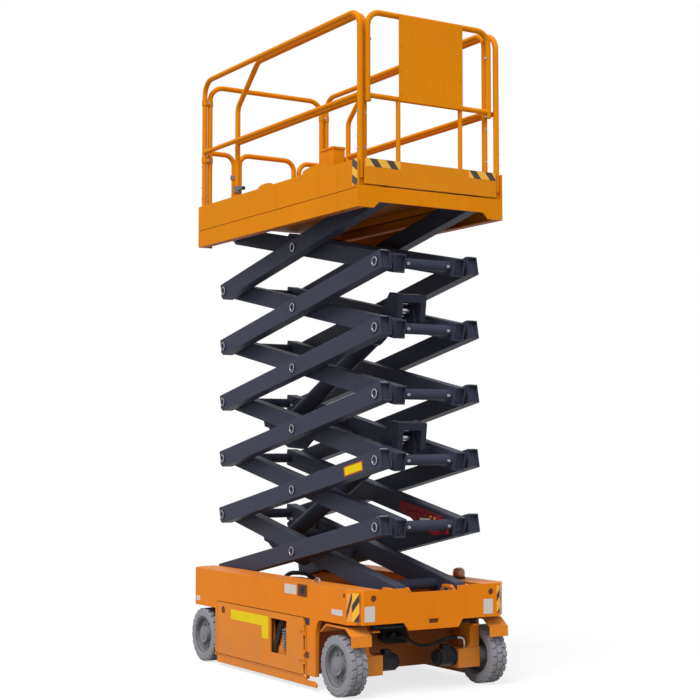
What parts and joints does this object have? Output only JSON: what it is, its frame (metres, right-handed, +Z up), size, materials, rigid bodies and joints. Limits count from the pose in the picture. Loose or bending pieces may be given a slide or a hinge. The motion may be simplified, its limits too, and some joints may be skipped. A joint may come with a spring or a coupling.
{
  "type": "scissor lift",
  "caption": "Self-propelled scissor lift: wheeled chassis, folding stack of crossed arms with lift cylinders, and a railed platform with a sliding extension deck and rear gate.",
  "frame": {"origin": "on the ground under the middle of the machine", "axes": "+X to the steered front end, +Y to the machine's left, +Z up"},
  "size_m": [2.284, 1.224, 4.3274],
  "materials": {
    "chassis_paint": "satin orange enamel",
    "platform_paint": "satin yellow-orange enamel",
    "arm_paint": "satin anthracite enamel",
    "prop_paint": "satin red enamel",
    "black_steel": "satin black enamel",
    "rod_chrome": "hard chrome",
    "steel": "machined steel",
    "tyre": "non-marking grey rubber",
    "rim_paint": "grey enamel",
    "battery_case": "moulded",
    "beacon_lens": "amber moulded",
    "control_case": "moulded"
  },
  "bodies": {
    "chassis": {"chassis": "chassis_paint", "entry_steps": "steel", "battery_pack": "battery_case", "hydraulic_unit": "black_steel", "beacon": "beacon_lens", "rear_spindles": "steel", "steer_barrel": "black_steel", "valve_block": "black_steel"},
    "steer_rod": {"steer_rod": "rod_chrome"},
    "door_near": {"door_near": "chassis_paint"},
    "door_far": {"door_far": "chassis_paint"},
    "guard_near": {"guard_near": "chassis_paint"},
    "guard_far": {"guard_far": "chassis_paint"},
    "knuckle_near": {"knuckle_near": "chassis_paint", "motor_near": "black_steel"},
    "knuckle_far": {"knuckle_far": "chassis_paint", "motor_far": "black_steel"},
    "wheel_front_near": {"tyre_front_near": "tyre", "rim_front_near": "rim_paint"},
    "wheel_front_far": {"tyre_front_far": "tyre", "rim_front_far": "rim_paint"},
    "wheel_rear_near": {"tyre_rear_near": "tyre", "rim_rear_near": "rim_paint"},
    "wheel_rear_far": {"tyre_rear_far": "tyre", "rim_rear_far": "rim_paint"},
    "outer_1": {"outer_arms_1": "arm_paint"},
    "inner_1": {"inner_arms_1": "arm_paint"},
    "outer_2": {"outer_arms_2": "arm_paint"},
    "inner_2": {"inner_arms_2": "arm_paint", "safety_prop": "prop_paint"},
    "outer_3": {"outer_arms_3": "arm_paint"},
    "inner_3": {"inner_arms_3": "arm_paint"},
    "outer_4": {"outer_arms_4": "arm_paint"},
    "inner_4": {"inner_arms_4": "arm_paint"},
    "outer_5": {"outer_arms_5": "arm_paint"},
    "inner_5": {"inner_arms_5": "arm_paint"},
    "outer_6": {"outer_arms_6": "arm_paint"},
    "inner_6": {"inner_arms_6": "arm_paint"},
    "lower_barrel": {"lower_barrel": "black_steel"},
    "lower_rod": {"lower_rod": "rod_chrome"},
    "upper_barrel": {"upper_barrel": "black_steel"},
    "upper_rod": {"upper_rod": "rod_chrome"},
    "platform": {"platform_frame": "platform_paint", "side_rail_near": "platform_paint", "side_rail_far": "platform_paint", "rear_rail": "platform_paint"},
    "gate": {"rear_gate": "platform_paint"},
    "extension": {"extension_deck": "platform_paint", "extension_rail": "platform_paint", "sign_panel": "platform_paint", "control_box": "control_case"}
  },
  "joints": [
    {"name": "lift", "type": "hinge", "parent": "chassis", "child": "inner_1", "pos_m": [1.054, 0, 0.6305], "axis": [0, 1, 0], "range_deg": [-7.8, 49.8]},
    {"name": "outer_1_mid", "type": "hinge", "parent": "inner_1", "child": "outer_1", "pos_m": [-0.00445, 0, 0.84008], "axis": [0, 1, 0], "range_deg": [-99.6, 15.6]},
    {"name": "outer_2_rear", "type": "hinge", "parent": "inner_1", "child": "outer_2", "pos_m": [-1.0629, 0, 1.04966], "axis": [0, 1, 0], "range_deg": [-99.6, 15.6]},
    {"name": "inner_2_mid", "type": "hinge", "parent": "outer_2", "child": "inner_2", "pos_m": [-0.00445, 0, 1.25924], "axis": [0, 1, 0], "range_deg": [-15.6, 99.6]},
    {"name": "inner_3_front", "type": "hinge", "parent": "outer_2", "child": "inner_3", "pos_m": [1.054, 0, 1.46881], "axis": [0, 1, 0], "range_deg": [-15.6, 99.6]},
    {"name": "outer_3_mid", "type": "hinge", "parent": "inner_3", "child": "outer_3", "pos_m": [-0.00445, 0, 1.67839], "axis": [0, 1, 0], "range_deg": [-99.6, 15.6]},
    {"name": "outer_4_rear", "type": "hinge", "parent": "inner_3", "child": "outer_4", "pos_m": [-1.0629, 0, 1.88797], "axis": [0, 1, 0], "range_deg": [-99.6, 15.6]},
    {"name": "inner_4_mid", "type": "hinge", "parent": "outer_4", "child": "inner_4", "pos_m": [-0.00445, 0, 2.09755], "axis": [0, 1, 0], "range_deg": [-15.6, 99.6]},
    {"name": "inner_5_front", "type": "hinge", "parent": "outer_4", "child": "inner_5", "pos_m": [1.054, 0, 2.30713], "axis": [0, 1, 0], "range_deg": [-15.6, 99.6]},
    {"name": "outer_5_mid", "type": "hinge", "parent": "inner_5", "child": "outer_5", "pos_m": [-0.00445, 0, 2.51671], "axis": [0, 1, 0], "range_deg": [-99.6, 15.6]},
    {"name": "outer_6_rear", "type": "hinge", "parent": "inner_5", "child": "outer_6", "pos_m": [-1.0629, 0, 2.72629], "axis": [0, 1, 0], "range_deg": [-99.6, 15.6]},
    {"name": "inner_6_mid", "type": "hinge", "parent": "outer_6", "child": "inner_6", "pos_m": [-0.00445, 0, 2.93587], "axis": [0, 1, 0], "range_deg": [-15.6, 99.6]},
    {"name": "platform_pivot", "type": "hinge", "parent": "outer_6", "child": "platform", "pos_m": [1.054, 0, 3.14545], "axis": [0, 1, 0], "range_deg": [-7.8, 49.8]},
    {"name": "lower_barrel_foot", "type": "hinge", "parent": "inner_1", "child": "lower_barrel", "pos_m": [-0.72822, 0, 0.89164], "axis": [0, 1, 0], "range_deg": [-95.01, 14.88]},
    {"name": "lower_rod_slide", "type": "slide", "parent": "lower_barrel", "child": "lower_rod", "axis": [0.9014, 0, 0.433], "range_m": [-0.1611, 1.0282]},
    {"name": "upper_barrel_foot", "type": "hinge", "parent": "inner_3", "child": "upper_barrel", "pos_m": [-0.72822, 0, 1.72996], "axis": [0, 1, 0], "range_deg": [-95.01, 14.88]},
    {"name": "upper_rod_slide", "type": "slide", "parent": "upper_barrel", "child": "upper_rod", "axis": [0.9014, 0, 0.433], "range_m": [-0.1611, 1.0282]},
    {"name": "steer", "type": "hinge", "parent": "chassis", "child": "knuckle_near", "pos_m": [0.9335, -0.44, 0.1905], "axis": [0, 0, 1], "range_deg": [-45, 45]},
    {"name": "steer_far", "type": "hinge", "parent": "chassis", "child": "knuckle_far", "pos_m": [0.9335, 0.44, 0.1905], "axis": [0, 0, 1], "range_deg": [-45, 45]},
    {"name": "steer_rod_slide", "type": "slide", "parent": "chassis", "child": "steer_rod", "axis": [0, 1, 0], "range_m": [-0.0762, 0.0762]},
    {"name": "front_near_wheel", "type": "hinge", "parent": "knuckle_near", "child": "wheel_front_near", "pos_m": [0.9335, -0.5365, 0.1905], "axis": [0, 1, 0], "continuous": true},
    {"name": "front_far_wheel", "type": "hinge", "parent": "knuckle_far", "child": "wheel_front_far", "pos_m": [0.9335, 0.5365, 0.1905], "axis": [0, 1, 0], "continuous": true},
    {"name": "rear_near_wheel", "type": "hinge", "parent": "chassis", "child": "wheel_rear_near", "pos_m": [-0.9395, -0.5365, 0.1905], "axis": [0, 1, 0], "continuous": true},
    {"name": "rear_far_wheel", "type": "hinge", "parent": "chassis", "child": "wheel_rear_far", "pos_m": [-0.9395, 0.5365, 0.1905], "axis": [0, 1, 0], "continuous": true},
    {"name": "door_near", "type": "hinge", "parent": "chassis", "child": "door_near", "pos_m": [0.5415, -0.603, 0.28], "axis": [0, 0, 1], "range_deg": [0, 110]},
    {"name": "door_far", "type": "hinge", "parent": "chassis", "child": "door_far", "pos_m": [0.5415, 0.603, 0.28], "axis": [0, 0, -1], "range_deg": [0, 110]},
    {"name": "guard_near", "type": "hinge", "parent": "chassis", "child": "guard_near", "pos_m": [0, -0.59, 0.078], "axis": [1, 0, 0], "range_deg": [0, 85]},
    {"name": "guard_far", "type": "hinge", "parent": "chassis", "child": "guard_far", "pos_m": [0, 0.59, 0.078], "axis": [-1, 0, 0], "range_deg": [0, 85]},
    {"name": "gate_swing", "type": "hinge", "parent": "platform", "child": "gate", "pos_m": [-1.095, -0.285, 3.54545], "axis": [0, 0, -1], "range_deg": [0, 95]},
    {"name": "extension_slide", "type": "slide", "parent": "platform", "child": "extension", "axis": [1, 0, 0], "range_m": [0, 0.9]}
  ],
  "couplings": [
    {"joint": "outer_1_mid", "follows": "lift", "ratio": -2},
    {"joint": "outer_2_rear", "follows": "lift", "ratio": -2},
    {"joint": "inner_2_mid", "follows": "lift", "ratio": 2},
    {"joint": "inner_3_front", "follows": "lift", "ratio": 2},
    {"joint": "outer_3_mid", "follows": "lift", "ratio": -2},
    {"joint": "outer_4_rear", "follows": "lift", "ratio": -2},
    {"joint": "inner_4_mid", "follows": "lift", "ratio": 2},
    {"joint": "inner_5_front", "follows": "lift", "ratio": 2},
    {"joint": "outer_5_mid", "follows": "lift", "ratio": -2},
    {"joint": "outer_6_rear", "follows": "lift", "ratio": -2},
    {"joint": "inner_6_mid", "follows": "lift", "ratio": 2},
    {"joint": "platform_pivot", "follows": "lift", "ratio": 1},
    {"joint": "lower_barrel_foot", "follows": "lift", "ratio": -1.9079},
    {"joint": "lower_rod_slide", "follows": "lift", "m_per_rad": 1.1829},
    {"joint": "upper_barrel_foot", "follows": "lift", "ratio": -1.9079},
    {"joint": "upper_rod_slide", "follows": "lift", "m_per_rad": 1.1829},
    {"joint": "steer_far", "follows": "steer", "ratio": 1},
    {"joint": "steer_rod_slide", "follows": "steer", "m_per_rad": 0.097}
  ]
}
